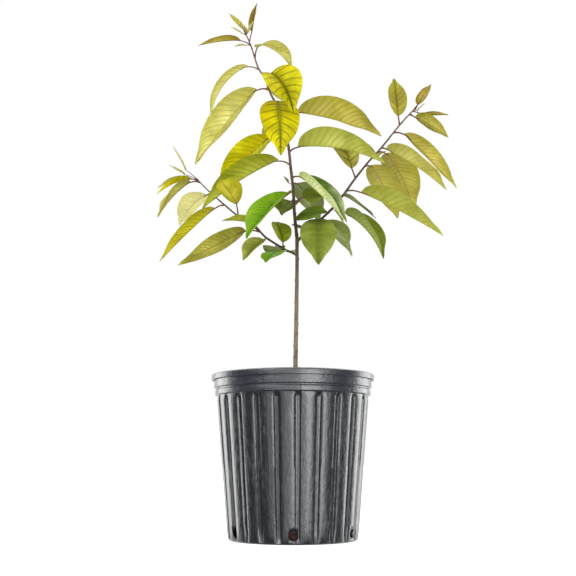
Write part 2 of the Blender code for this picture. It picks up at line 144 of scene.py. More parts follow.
class Finish:
    """A material that is being mixed: a Principled BSDF and the nodes that feed it."""

    def __init__(self, name, constants):
        self.material = bpy.data.materials.new(name)
        self.material.use_nodes = True
        self.tree = self.material.node_tree
        self.shader = self.tree.nodes["Principled BSDF"]
        for socket, value in constants.items():
            self.shader.inputs[socket].default_value = value

    def node(self, kind, settings, inputs, output=0):
        """Add a node: its settings come first, then the values or wires of its sockets."""
        node = self.tree.nodes.new(kind)
        for name, value in settings.items():
            setattr(node, name, value)
        for place, value in inputs.items():
            if isinstance(value, Wire):
                self.tree.links.new(value.socket, node.inputs[place])
            else:
                node.inputs[place].default_value = value
        return Wire(self, node.outputs[output])

    def place(self, scale=(1, 1, 1)):
        """The piece's own coordinates in metres, stretched along each axis."""
        here = self.node("ShaderNodeTexCoord", {}, {}, "Object")
        return self.node("ShaderNodeMapping", {}, {"Vector": here, "Scale": scale})

    def cloud(self, vector, scale, detail=3.0, roughness=0.55):
        """Smooth noise from 0 to 1."""
        inputs = {"Vector": vector, "Scale": scale, "Detail": detail, "Roughness": roughness}
        return self.node("ShaderNodeTexNoise", {}, inputs)

    def blend(self, share, first, second):
        """The first colour where share is 0, and the second where it is 1."""
        colours = [c if isinstance(c, Wire) else (*c, 1) for c in (first, second)]
        settings = {"data_type": "RGBA"}
        return self.node("ShaderNodeMix", settings, {0: share, 6: colours[0], 7: colours[1]}, 2)

    def feed(self, socket, wire):
        """Link a wire to one of the shader's sockets."""
        self.tree.links.new(wire.socket, self.shader.inputs[socket])

    def relief(self, height, distance, strength=1.0):
        """Bump the surface by a height of which 1 stands for the distance."""
        inputs = {"Height": height, "Distance": distance, "Strength": strength}
        self.feed("Normal", self.node("ShaderNodeBump", {}, inputs))


WALL_COLOUR = paint(16, 23, 28)
DUST_AND_GLINT_COLOUR = paint(98, 108, 112)       # the dust where hands touched the wall, lighter in streaks that are also painted glints
COLLAR_COLOUR = paint(36, 41, 49)


def wall_radius(height):
    """The outer radius of the pot's wall on its ribs."""
    return WALL_FOOT_RADIUS + (WALL_TOP_RADIUS - WALL_FOOT_RADIUS) * height / LOWER_BAND_FOOT


def smooth(value, low, high):
    """0 below low, 1 above high, and smooth between them."""
    share = min(max((value - low) / (high - low), 0), 1)
    return share * share * (3 - 2 * share)


def spin_profile(mesh, profile, corner, long_edge, cuts, steps, sectors):
    """Turn a profile of radii and heights round Z, its corners eased and its long edges cut.

    One sector is spun in a number of steps, and the others are its copies.
    """
    points = [mesh.verts.new((radius, 0, height)) for radius, height in profile]
    for pair in zip(points, points[1:]):
        mesh.edges.new(pair)
    bmesh.ops.bevel(
        mesh, geom=points[1:-1], offset=corner, affect="VERTICES", segments=3, profile=0.5, material=-1
    )
    walls = [edge for edge in mesh.edges if edge.calc_length() > long_edge]
    bmesh.ops.subdivide_edges(mesh, edges=walls, cuts=cuts)
    pitch = 2 * math.pi / sectors
    bmesh.ops.spin(mesh, geom=mesh.verts[:] + mesh.edges[:], axis=(0, 0, 1), angle=pitch, steps=steps)
    sector = mesh.verts[:] + mesh.edges[:] + mesh.faces[:]
    for turn in range(1, sectors):
        twin = bmesh.ops.duplicate(mesh, geom=sector)["geom"]
        corners = [item for item in twin if isinstance(item, bmesh.types.BMVert)]
        bmesh.ops.rotate(mesh, verts=corners, matrix=Matrix.Rotation(turn * pitch, 3, "Z"))
    bmesh.ops.remove_doubles(mesh, verts=mesh.verts, dist=MM / 100)
    bmesh.ops.recalc_face_normals(mesh, faces=mesh.faces)


def finished_piece(name, mesh, materials, sharp=math.radians(40)):
    """Make the piece of a bmesh, shaded smooth up to an angle."""
    data = bpy.data.meshes.new(name)
    mesh.to_mesh(data)
    mesh.free()
    for material in materials:
        data.materials.append(material)
    data.shade_smooth()
    data.set_sharp_from_angle(angle=sharp)
    piece = bpy.data.objects.new(name, data)
    bpy.context.scene.collection.objects.link(piece)
    return piece


def press_flutes(mesh):
    """Push the fluted wall in at its grooves, and swell its ribs and the parting line."""
    pitch = 2 * math.pi / FLUTES
    steps = GROOVE_STEPS + RIB_STEPS
    for corner in mesh.verts:
        reach = math.hypot(corner.co.x, corner.co.y)
        if reach < MM:
            continue
        turn = (math.atan2(corner.co.y, corner.co.x) - FLUTE_TURN) % (2 * math.pi)
        step = round(turn / pitch * steps) % (steps * FLUTES)
        flute, step = divmod(step, steps)
        if step < GROOVE_STEPS:
            place = GROOVE_SHARE * step / GROOVE_STEPS
        else:
            place = GROOVE_SHARE + (1 - GROOVE_SHARE) * (step - GROOVE_STEPS) / RIB_STEPS
        height = corner.co.z
        across = abs(place / GROOVE_SHARE * 2 - 1)    # 0 in the groove's middle, 1 at its edges
        top = FLUTE_TOP + FLUTE_CREST - FLUTE_SHOULDER * min(across, 1) ** 6
        in_height = smooth(height, FLUTE_FOOT - FLUTE_EASE, FLUTE_FOOT)
        in_height *= 1 - smooth(height, top, top + FLUTE_EASE)
        side = 2 * GROOVE_SIDE / GROOVE_SHARE
        depth = FLUTE_DEPTH * (1 - smooth(across, 1 - side, 1)) * in_height
        rib = (place - GROOVE_SHARE) / (1 - GROOVE_SHARE)
        if rib > 0:
            depth -= RIB_CROWN * math.sin(math.pi * rib) ** 0.7 * in_height
        angle = FLUTE_TURN + (flute + place) * pitch
        off_seam = abs(angle - 2 * math.pi * round((angle - SEAM_TURN) / (2 * math.pi)) - SEAM_TURN)
        outside = reach > wall_radius(height) - WALL / 2
        if outside and height < UPPER_BAND_FOOT and off_seam < pitch / steps / 2:
            depth -= SEAM_HEIGHT
        corner.co.x = (reach - depth) * math.cos(angle)
        corner.co.y = (reach - depth) * math.sin(angle)


def pot_plastic():
    """Dark slate plastic: a grainy wall, drawn up and down, under a smoother and bluer collar."""
    plastic = Finish("pot_plastic", {
        "Specular IOR Level": 1.0, "Coat Weight": 0.9, "Coat Roughness": 0.2, "Coat IOR": 1.5,
    })
    collar = plastic.place().part("z").clear(LOWER_BAND_FOOT - MM, LOWER_BAND_FOOT)
    drawn = plastic.cloud(plastic.place((1, 1, 0.03)), 300, 4)
    grain = plastic.cloud(plastic.place((1, 1, 0.4)), 300, 3, 0.7)
    handled_and_glint_patches = plastic.cloud(plastic.place((1, 1, 0.4)), 40, 5, 0.65)
    # Dust where hands touched the wall, in grainy lighter streaks that also stand in as painted glints of
    # the highlights
    dust_and_glints = (drawn * 0.35 + grain * 0.65).clear(0.47, 0.66) * handled_and_glint_patches.clear(0.36, 0.68)
    dents = plastic.cloud(plastic.place((1, 1, 1.6)), 150, 4, 0.65)
    wall = plastic.blend(dust_and_glints * 0.34, WALL_COLOUR, DUST_AND_GLINT_COLOUR)
    plastic.feed("Base Color", plastic.blend(collar, wall, COLLAR_COLOUR))
    plastic.feed("Roughness", 0.24 + dust_and_glints * 0.2 + grain * 0.1)
    plastic.relief((grain + drawn * 0.6) * (1 - collar * 0.7) + dents * collar, 0.8 * MM)
    return plastic.material


def make_pot():
    """The shell: a profile turned into a wall, its flutes pressed in and its holes drilled."""
    mesh = bmesh.new()
    profile = [
        (0, 0), (WALL_FOOT_RADIUS - SLOPE, 0), (wall_radius(SLOPE), SLOPE),
        (wall_radius(FLUTE_TOP), FLUTE_TOP), (wall_radius(LOWER_BAND_FOOT), LOWER_BAND_FOOT),
        (LOWER_BAND_RADIUS, LOWER_BAND_FOOT + SLOPE / 2), (LOWER_BAND_RADIUS, LEDGE_FOOT),
        (LEDGE_RADIUS, LEDGE_FOOT + SLOPE / 2), (LEDGE_RADIUS, UPPER_BAND_FOOT),
        (UPPER_BAND_RADIUS, UPPER_BAND_FOOT + SLOPE / 2), (UPPER_BAND_RADIUS, LIP_FOOT + SLOPE / 2),
        (LIP_RADIUS - 1.5 * SLOPE, LIP_FOOT + SLOPE / 2), (LIP_RADIUS - SLOPE, LIP_FOOT - LIP_HOOK),
        (LIP_RADIUS, LIP_FOOT - LIP_HOOK), (LIP_RADIUS, POT_HEIGHT - SLOPE),
        (LIP_RADIUS - 2 * SLOPE, POT_HEIGHT), (LIP_RADIUS - LIP_WIDTH, POT_HEIGHT),
        (LEDGE_RADIUS - WALL, UPPER_BAND_FOOT), (WALL_TOP_RADIUS - WALL, LOWER_BAND_FOOT),
        (wall_radius(FLUTE_TOP) - WALL, FLUTE_TOP), (wall_radius(FLOOR) - WALL, FLOOR), (0, FLOOR),
    ]
    spin_profile(mesh, profile, CORNER, LONG_WALL, WALL_RINGS, GROOVE_STEPS + RIB_STEPS, FLUTES)
    press_flutes(mesh)
    pot = finished_piece("pot_shell", mesh, [pot_plastic()])
    drill = bmesh.new()
    for hole in range(DRAIN_HOLES):
        turn = Matrix.Rotation(2 * math.pi * (hole + 0.5) / DRAIN_HOLES, 4, "Z")
        turn @= Matrix.Translation((WALL_FOOT_RADIUS, 0, DRAIN_HEIGHT))
        turn @= Matrix.Rotation(math.pi / 2, 4, "Y")
        bmesh.ops.create_cone(
            drill, cap_ends=True, segments=DRAIN_SIDES, radius1=DRAIN_RADIUS, radius2=DRAIN_RADIUS,
            depth=DRAIN_CUT, matrix=turn
        )
    cutter = finished_piece("drain_cutter", drill, [])
    cut = pot.modifiers.new("drain", "BOOLEAN")
    cut.operation = "DIFFERENCE"
    cut.solver = "MANIFOLD"
    cut.object = cutter
    graph = bpy.context.evaluated_depsgraph_get()
    drained = bpy.data.meshes.new_from_object(pot.evaluated_get(graph))
    pot.modifiers.clear()
    pot.data = drained
    bpy.data.objects.remove(cutter, do_unlink=True)
    return pot


pot = make_pot()
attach(pot, "root")
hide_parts("nursery_pot")

# The potting mix
# Composted bark fines with white perlite, filled in to a finger's breadth below the lip and
# settled. Its body is one mesh with a crumbled top, and the loose bits on top are three more.

MIX_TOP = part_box("potting_mix")[1].z
MIX_FOOT = FLOOR + 0.3 * MM
MIX_GAP = 0.8 * MM            # between the mix and the plastic
MIX_CRUMBLE = 2.2 * MM        # how far its top rises and dips
MIX_WAVES = ((70, 0.6), (210, 0.45), (600, 0.3))     # their number to a metre, and height
MIX_CHAMFER = 1.5 * MM        # of its outer edge
MIX_LONG_WALL = 60 * MM
MIX_RINGS = 42
MIX_STEPS = 25
MIX_SECTORS = 6
CRUMBS = 620
PERLITE = 95
CHIPS = 60
BIT_CLEARING = 0.006          # the share of the top that stays clear of bits, round the trunk
BIT_JAGS = (0.7, 1.25)        # how far a bit's corners stand out, for its mean radius


def mix_finish(name, dark, light, roughness, scale):
    """A crumbly matt finish between two colours."""
    crumb = Finish(name, {"Roughness": roughness})
    clods = crumb.cloud(crumb.place(), scale, 6, 0.7)
    fines = crumb.cloud(crumb.place(), scale * 5, 3)
    crumb.feed("Base Color", crumb.blend(clods.clear(0.35, 0.7), dark, light))
    crumb.relief(clods * 0.7 + fines * 0.4, 1.2 * MM)
    return crumb.material


def mix_level(x, y):
    """The height of the crumbled top at a place."""
    here = Vector((x, y, 0))
    rough = sum(noise.noise(here * waves) * height for waves, height in MIX_WAVES)
    return MIX_TOP - MIX_CRUMBLE * (0.75 - 0.7 * rough)


def make_mix():
    """The body: clear of the plastic all round, with a crumbled top."""
    mesh = bmesh.new()
    inset = WALL + MIX_GAP
    rim = WALL_TOP_RADIUS - inset
    profile = [
        (0, MIX_FOOT), (wall_radius(MIX_FOOT) - inset - FLUTE_DEPTH, MIX_FOOT),
        (wall_radius(FLUTE_TOP) - inset - FLUTE_DEPTH, FLUTE_TOP), (rim, LOWER_BAND_FOOT + 2 * MM),
        (rim, MIX_TOP - MIX_CHAMFER), (rim - MM, MIX_TOP - MM), (0, MIX_TOP - MM),
    ]
    spin_profile(mesh, profile, CORNER, MIX_LONG_WALL, MIX_RINGS, MIX_STEPS, MIX_SECTORS)
    for corner in mesh.verts:
        if corner.co.z > MIX_TOP - MIX_CHAMFER + 0.1 * MM:
            corner.co.z = min(mix_level(corner.co.x, corner.co.y), MIX_TOP)
    fines = mix_finish("bark_fines", paint(38, 22, 20), paint(92, 62, 55), 0.95, 320)
    return finished_piece("potting_mix_body", mesh, [fines])


def make_bits(name, count, sizes, flat, finish, seed):
    """Loose bits strewn over the mix: small jagged lumps, each turned its own way."""
    draw = random.Random(seed)
    mesh = bmesh.new()
    rim = WALL_TOP_RADIUS - WALL - MIX_GAP - sizes[1]
    for _ in range(count):
        size = draw.uniform(*sizes)
        reach = rim * math.sqrt(draw.uniform(BIT_CLEARING, 1))
        bearing = draw.uniform(0, 2 * math.pi)
        x, y = reach * math.cos(bearing), reach * math.sin(bearing)
        angle = draw.uniform(0, math.pi)
        axis = (draw.uniform(-1, 1), draw.uniform(-1, 1), draw.uniform(0.2, 1))
        turn = Matrix.Rotation(angle, 4, axis)
        place = Matrix.Translation((x, y, min(mix_level(x, y), MIX_TOP - size * 0.3)))
        lump = bmesh.ops.create_icosphere(mesh, subdivisions=1, radius=1)["verts"]
        for corner in lump:
            corner.co *= draw.uniform(*BIT_JAGS)
            corner.co = Vector((corner.co.x, corner.co.y * flat[0], corner.co.z * flat[1])) * size / 2
        bmesh.ops.transform(mesh, matrix=place @ turn, verts=lump)
    return finished_piece(name, mesh, [finish], sharp=math.radians(25))


mix = make_mix()
crumbs = make_bits(
    "bark_crumbs", CRUMBS, (1.6 * MM, 4.2 * MM), (0.8, 0.6),
    mix_finish("bark_crumb", paint(46, 27, 24), paint(112, 74, 62), 0.95, 500), 11
)
chips = make_bits(
    "bark_chips", CHIPS, (4 * MM, 9 * MM), (0.35, 0.22),
    mix_finish("bark_chip", paint(60, 36, 28), paint(134, 92, 70), 0.9, 420), 12
)
perlite = make_bits(
    "perlite", PERLITE, (1.3 * MM, 3.2 * MM), (0.9, 0.8),
    mix_finish("perlite_white", paint(196, 192, 186), paint(240, 238, 234), 0.85, 900), 13
)
for piece in (mix, crumbs, chips, perlite):
    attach(piece, "root")
    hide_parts("potting_mix")

# The trunk and the two lowest boughs
# Slim young wood in thin bark, beige below where it is oldest, near black brown in the crown.
# It is finely furrowed along its length, and swells a little at the old leaf scars.

Limb = namedtuple("Limb", "places foot tip")
TRUNK = Limb(
    ((2, 0, 147.3), (2, 0, 151), (2.4, 0, 160), (3.6, 0, 222), (4.5, 0, 276), (4.4, 0, 311)), 2.5, 1.8
)
FLARE_RADIUS = 4.2 * MM
FLARE_HEIGHT = 14 * MM
LEFT_BOUGH = Limb(((4.4, 0, 292), (-1.8, 4.5, 296), (-6.2, 7, 298)), 1.5, 1.3)
RIGHT_BOUGH = Limb(((4.4, 0, 306.5), (12, -2.5, 313.4), (19, -4.5, 318.8)), 1.6, 1.4)
CURVE_STEPS = 3
TUBE_LOOK = 0.02              # how far off a tube's direction is read, as a share of its path
BARK_STEP = 0.7 * MM          # between the rings of a limb's mesh
BARK_SIDES = 28
FURROW_DEPTH = 0.05           # for the limb's radius, as the next two are
WRINKLE_DEPTH = 0.025
SCAR_SWELL = 0.22
SCAR_LENGTH = 1.6 * MM
SCAR_PITCH = 23 * MM          # between the swellings at old leaf scars
SCAR_TURN = 2.4               # the angle round the limb from one scar to the next
LIMB_SEAT = 1.3 * MM          # how far a limb's foot runs into what bears it


def smooth_path(places):
    """Points in metres on one smooth curve through places given in millimetres."""
    knots = [Vector(place) * MM for place in places]
    knots = [2 * knots[0] - knots[1]] + knots + [2 * knots[-1] - knots[-2]]
    path = []
    for before, start, end, after in zip(knots, knots[1:], knots[2:], knots[3:]):
        for step in range(CURVE_STEPS):
            t = step / CURVE_STEPS
            bend = 2 * start + (end - before) * t
            bend += (2 * before - 5 * start + 4 * end - after) * t * t
            bend += (3 * start - before - 3 * end + after) * t ** 3
            path.append(bend / 2)
    return path + [knots[-2]]


def place_on(path, share):
    """The point at a share of a path's length."""
    lengths = [(b - a).length for a, b in zip(path, path[1:])]
    left = share * sum(lengths)
    for a, b, length in zip(path, path[1:], lengths):
        if left <= length:
            break
        left -= length
    return a.lerp(b, min(left / length, 1))


def path_length(path):
    """A path's length, the sum of its steps."""
    return sum((b - a).length for a, b in zip(path, path[1:]))


def add_tube(mesh, path, radius_at, sides, rings, material=0):
    """Grow a capped tube along a path; radius_at gives its radius from share and angle."""
    first = len(mesh.verts)
    old_edges = len(mesh.edges)
    old_faces = len(mesh.faces)
    bmesh.ops.create_cone(mesh, cap_ends=True, segments=sides, radius1=1, radius2=1, depth=1)
    mesh.edges.ensure_lookup_table()
    walls = []
    for edge in mesh.edges[old_edges:]:
        if abs(edge.verts[0].co.z - edge.verts[1].co.z) > 0.5:
            walls.append(edge)
    bmesh.ops.subdivide_edges(mesh, edges=walls, cuts=rings - 1)
    frames = []
    side = Vector((0, 1, 0))
    for ring in range(rings + 1):
        share = ring / rings
        ahead = place_on(path, min(share + TUBE_LOOK, 1))
        along = (ahead - place_on(path, max(share - TUBE_LOOK, 0))).normalized()
        side = (side - along * side.dot(along)).normalized()
        frames.append((place_on(path, share), side.copy(), along.cross(side)))
    mesh.verts.ensure_lookup_table()
    for corner in mesh.verts[first:]:
        share = corner.co.z + 0.5
        angle = math.atan2(corner.co.y, corner.co.x)
        middle, side, turn = frames[round(share * rings)]
        reach = radius_at(share, angle)
        corner.co = middle + reach * (math.cos(angle) * side - math.sin(angle) * turn)
    mesh.faces.ensure_lookup_table()
    for face in mesh.faces[old_faces:]:
        face.material_index = material


def bark_radius(limb, length, extra):
    """A limb's tapering radius with furrows along it and swellings at its leaf scars."""
    def radius_at(share, angle):
        plain = (limb.foot + (limb.tip - limb.foot) * share) * MM + extra(share)
        run = share * length
        furrow = noise.noise(Vector((math.cos(angle) * 3, math.sin(angle) * 3, run * 60 + limb.foot)))
        wrinkle = noise.noise(Vector((math.cos(angle) * 1.5, math.sin(angle) * 1.5, run * 420)))
        off = run / SCAR_PITCH + 0.35
        scar = int(off)
        near = math.exp(-(((off - scar - 0.5) * SCAR_PITCH / SCAR_LENGTH) ** 2))
        facing = 0.5 + 0.5 * math.cos(angle - scar * SCAR_TURN)
        rough = FURROW_DEPTH * furrow + WRINKLE_DEPTH * wrinkle
        return plain * (1 + rough + SCAR_SWELL * near * facing)
    return radius_at


def bark_finish(name, low, high, foot_colour, top_colour, dark):
    """Thin bark: a colour that changes with height, furrowed and freckled."""
    bark = Finish(name, {"Roughness": 0.72})
    here = bark.place()
    rise = here.part("z").clear(low, high)
    furrows = bark.cloud(bark.place((1, 1, 0.12)), 1100, 5, 0.65)
    patches = bark.cloud(here, 130, 4)
    ground = bark.blend(rise, foot_colour, top_colour)
    ground = bark.blend(patches.clear(0.45, 0.7) * 0.55, ground, dark)
    freckle = bark.cloud(here, 900, 1).clear(0.68, 0.74)
    ground = bark.blend(freckle * 0.6, ground, paint(176, 160, 136))
    bark.feed("Base Color", bark.blend(furrows.clear(0.5, 0.75) * 0.6, ground, dark))
    bark.relief(furrows + freckle * 0.5, 0.35 * MM)
    return bark.material


def plain_taper(share):
    """What is added to the radius of a limb that has no flare."""
    return 0.0


def grow_limb(mesh, limb, extra=plain_taper):
    """One limb in bark, ringed closely enough for its relief and let into what bears it."""
    path = smooth_path(limb.places)
    path[0] += (path[0] - path[1]).normalized() * LIMB_SEAT
    length = path_length(path)
    add_tube(mesh, path, bark_radius(limb, length, extra), BARK_SIDES, round(length / BARK_STEP))


def root_flare(share):
    """How much wider the trunk is than its taper, where it leaves the mix."""
    length = path_length(smooth_path(TRUNK.places))
    rise = min(share * length / FLARE_HEIGHT, 1)
    return (FLARE_RADIUS - TRUNK.foot * MM) * (1 - rise) ** 2


old_bark = bark_finish("old_bark", 0.15, 0.33, paint(150, 134, 112), paint(84, 66, 50), paint(62, 50, 40))
young_bark = bark_finish("young_bark", 0.33, 0.48, paint(72, 54, 44), paint(120, 92, 62), paint(44, 32, 28))
for name, limb, extra in (
    ("trunk", TRUNK, root_flare),
    ("left_bough", LEFT_BOUGH, plain_taper),
    ("right_bough", RIGHT_BOUGH, plain_taper),
):
    mesh = bmesh.new()
    grow_limb(mesh, limb, extra)
    wood = finished_piece(name + "_wood", mesh, [old_bark])
    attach(wood, "root")
    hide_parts(name)
    name + "_bark"

# The foliage
# Every stretch of stem bears its leaves on short hairy stalks: long thin blades, folded along
# the midrib and arched, with side veins that sink above and stand out as ridges below.

STEMS = {
    "middle_foliage": Limb(
        ((4.4, 0, 311.3), (3.3, 0, 322), (1.7, 0, 340), (0.7, 0, 362), (-1.8, 0, 385)), 1.8, 1.5
    ),
    "upper_foliage": Limb(
        ((-1.8, 0, 385.3), (-4, -1, 407), (-7, -1, 426), (-13, 0, 444), (-17.6, 1, 460)), 1.5, 1.2
    ),
    "leader_foliage": Limb(
        ((-17.7, 1, 460.3), (-25, 2, 475), (-30, 3, 491), (-38, 3, 504), (-46, 2, 529), (-52, 1, 543)),
        1.2, 0.7
    ),
    "right_inner_foliage": Limb(
        ((19.3, -4.6, 319), (25.6, -7, 325), (41.4, -12, 339), (55, -17, 355)), 1.4, 1.2
    ),
    "right_outer_foliage": Limb(
        ((55.2, -17.1, 355.3), (66, -21, 370), (80, -25, 387), (92.5, -29, 400), (112, -35, 423.5),
         (128, -40, 440)),
        1.2, 0.7
    ),
    "left_inner_foliage": Limb(
        ((-6.5, 7.1, 298.2), (-20, 13, 308), (-29, 17, 315), (-36, 20, 323)), 1.3, 1.1
    ),
    "left_outer_foliage": Limb(
        ((-36.2, 20.1, 323.3), (-60, 29, 342), (-75, 34, 356), (-93, 39, 373), (-106, 42, 387)), 1.1, 0.6
    ),
}

# Each leaf: its place along the stem, bearing, stalk length and rise, blade length, rise and
# droop, width, roll and fold, in millimetres and degrees, as in the CAD model, and its tint.
Leaf = namedtuple("Leaf", "at bearing stalk lift blade rise droop width roll fold tint")
LEAVES = {
    "middle_foliage": (
        Leaf(0.16, 70, 11, 5, 48, 2, 50, 28, 0, 20, "deep_green"),
        Leaf(0.30, 319, 2, -10, 43, -3, 15, 26, 48, 5, "deep_green"),
        Leaf(0.50, 10, 12, 38, 22, 4, 30, 21, 62, 10, "mid_green"),
        Leaf(0.56, 105, 11, 8, 42, -8, 40, 30, 0, 15, "deep_green"),
        Leaf(0.68, 215, 5, -20, 80, -47, 15, 46, -10, 30, "fresh_green"),
        Leaf(0.79, 62, 12, 22, 62, -31, 30, 34, 0, 20, "grey_green"),
        Leaf(0.77, 135, 8, 35, 12, 50, 20, 5, 0, 10, "mid_green"),
        Leaf(0.88, 320, 10, 8, 88, -45, 12, 36, 0, 45, "cream"),
    ),
    "upper_foliage": (
        Leaf(0.07, 163, 16, 30, 101, -29, 20, 38, 15, 45, "olive_green"),
        Leaf(0.26, 326, 12, 22, 113, -20, 28, 44, -5, 58, "sage"),
        Leaf(0.56, 152, 20, -5, 84, -37, 10, 38, 18, 33, "yellow"),
        Leaf(0.76, 10, 20, 31, 98, -13, 18, 48, -18, 45, "gold_olive"),
        Leaf(0.97, 277, 7, 50, 82, -66, 40, 43, 0, 8, "yellow"),
        Leaf(0.62, 103, 10, 30, 88, 6, 20, 30, 0, 15, "olive_green"),
    ),
    "leader_foliage": (
        Leaf(0.21, 157, 16, 15, 108, -46, 8, 42, 18, 45, "straw"),
        Leaf(0.36, 308, 10, 27, 72, -55, 40, 46, 34, 34, "yellow"),
        Leaf(0.50, 187, 14, 20, 80, -59, 62, 16, 10, 60, "straw"),
        Leaf(0.66, 43, 14, 82, 64, -9, 105, 26, 8, 12, "straw"),
        Leaf(0.84, 210, 13, 14, 54, -20, 15, 13, 0, 50, "bronze"),
        Leaf(0.83, 135, 10, 25, 18, 12, 10, 6, 0, 20, "downy"),
        Leaf(0.88, 45, 14, 77, 38, 78, 10, 11, 0, 30, "bronze"),
        Leaf(0.99, 237, 6, 45, 28, 15, 10, 7, 0, 15, "gold_olive"),
        Leaf(0.97, 158, 6, 38, 18, 35, 10, 5, 0, 15, "downy"),
        Leaf(0.97, 110, 4, 50, 14, 66, 10, 5, 0, 10, "downy"),
        Leaf(0.98, 335, 3, 54, 14, 61, 10, 5, 0, 10, "downy"),
        Leaf(0.25, 70, 12, 20, 78, 3, 25, 32, 0, 15, "gold_olive"),
    ),
    "right_inner_foliage": (
        Leaf(0.21, 268, 5, 25, 62, -65, 40, 38, 0, 8, "mid_green"),
        Leaf(0.03, 36, 9, 9, 56, -29, 70, 18, 0, 10, "grey_green"),
        Leaf(0.55, 20, 5, 10, 17, -55, 20, 9, 0, 20, "mid_green"),
        Leaf(0.74, 321, 16, -50, 74, -50, 40, 34, -5, 45, "mid_green"),
        Leaf(0.88, 340, 4, 55, 46, -40, 15, 28, 0, 10, "grey_green"),
        Leaf(0.30, 64, 8, 0, 70, -14, 25, 28, 0, 15, "mid_green"),
    ),
    "right_outer_foliage": (
        Leaf(0.02, 333, 17, -11, 104, -33, 8, 38, -15, 45, "sage"),
        Leaf(0.16, 131, 13, 66, 84, 44, 65, 31, -22, 15, "olive"),
        Leaf(0.29, 50, 14, 24, 70, -45, 30, 38, 0, 15, "gold_olive"),
        Leaf(0.52, 331, 6, -10, 84, -40, 15, 36, 0, 45, "straw"),
        Leaf(0.47, 52, 19, 14, 76, -41, 35, 40, 0, 12, "gold_olive"),
        Leaf(0.70, 25, 14, 6, 82, -39, 8, 24, -15, 45, "gold_olive"),
        Leaf(0.79, 100, 12, 71, 50, 74, 15, 22, 0, 25, "gold_olive"),
        Leaf(0.92, 338, 7, -30, 44, -38, 15, 22, -30, 20, "olive"),
        Leaf(0.96, 14, 10, -10, 31, 3, 5, 11, 0, 10, "bronze"),
        Leaf(0.99, 294, 6, 22, 30, 25, 10, 12, 0, 20, "bronze"),
        Leaf(0.98, 30, 4, 0, 16, 43, 10, 4, 0, 10, "downy"),
        Leaf(0.42, 84, 8, 30, 64, 14, 20, 28, 0, 15, "gold_olive"),
    ),
    "left_inner_foliage": (
        Leaf(0.05, 60, 6, -5, 22, 8, 20, 13, 0, 5, "mid_green"),
        Leaf(0.09, 243, 6, -30, 42, -28, 30, 28, 0, 5, "fresh_green"),
        Leaf(0.11, 112, 7, 80, 38, 50, 40, 24, 0, 30, "olive_green"),
        Leaf(0.68, 230, 5, -20, 44, -41, 10, 26, -15, 35, "sage"),
        Leaf(0.90, 213, 15, 42, 38, -4, 20, 20, 0, 30, "olive_green"),
        Leaf(0.95, 209, 18, 0, 90, -31, 4, 27, 45, 10, "olive"),
        Leaf(0.35, 95, 12, 0, 56, 0, 25, 26, 0, 15, "deep_green"),
    ),
    "left_outer_foliage": (
        Leaf(0.32, 246, 13, 75, 44, 22, 20, 32, 18, 42, "yellow_olive"),
        Leaf(0.54, 190, 12, -17, 86, -47, 6, 26, 10, 45, "yellow_olive"),
        Leaf(0.76, 132, 8, 5, 60, -27, 50, 33, 0, 20, "pale_straw"),
        Leaf(0.96, 210, 12, -3, 60, -51, 25, 30, 8, 28, "olive"),
        Leaf(0.97, 192, 12, 17, 42, -30, 30, 14, 0, 30, "yellow"),
        Leaf(0.95, 172, 12, 30, 41, -14, 35, 12, 0, 30, "straw"),
        Leaf(0.98, 178, 19, 42, 33, 61, 5, 8, 0, 20, "downy"),
        Leaf(0.99, 220, 18, 12, 22, 17, 10, 5, 0, 10, "downy"),
    ),
}

